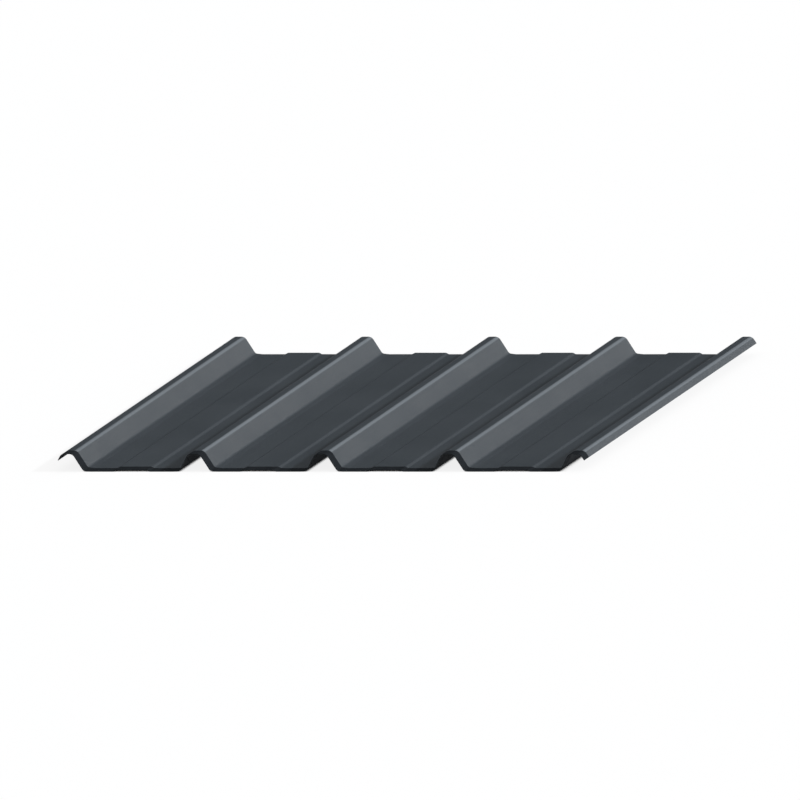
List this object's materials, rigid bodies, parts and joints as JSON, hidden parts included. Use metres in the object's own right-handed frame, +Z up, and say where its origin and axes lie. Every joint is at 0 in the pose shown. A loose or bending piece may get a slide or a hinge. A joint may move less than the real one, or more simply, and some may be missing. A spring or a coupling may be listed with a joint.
{
  "type": "corrugated metal sheet",
  "caption": "Trapezoidal box-profile roofing sheet of dark colour-coated steel, with narrow ribs, wide beaded pans and short down-turned side laps.",
  "frame": {"origin": "middle of the sheet's footprint, at the undersides of the pans, which rest on the floor", "axes": "+X across the ribs, +Y along the ribs and the sheet's length, +Z up, out of the weather face"},
  "size_m": [1.0378, 1, 0.0345],
  "materials": {
    "coated_steel": "satin anthracite coil coating on galvanised steel, with a matt dark backing coat underneath"
  },
  "bodies": {
    "root": {"profiled_sheet": "coated_steel"}
  },
  "joints": []
}
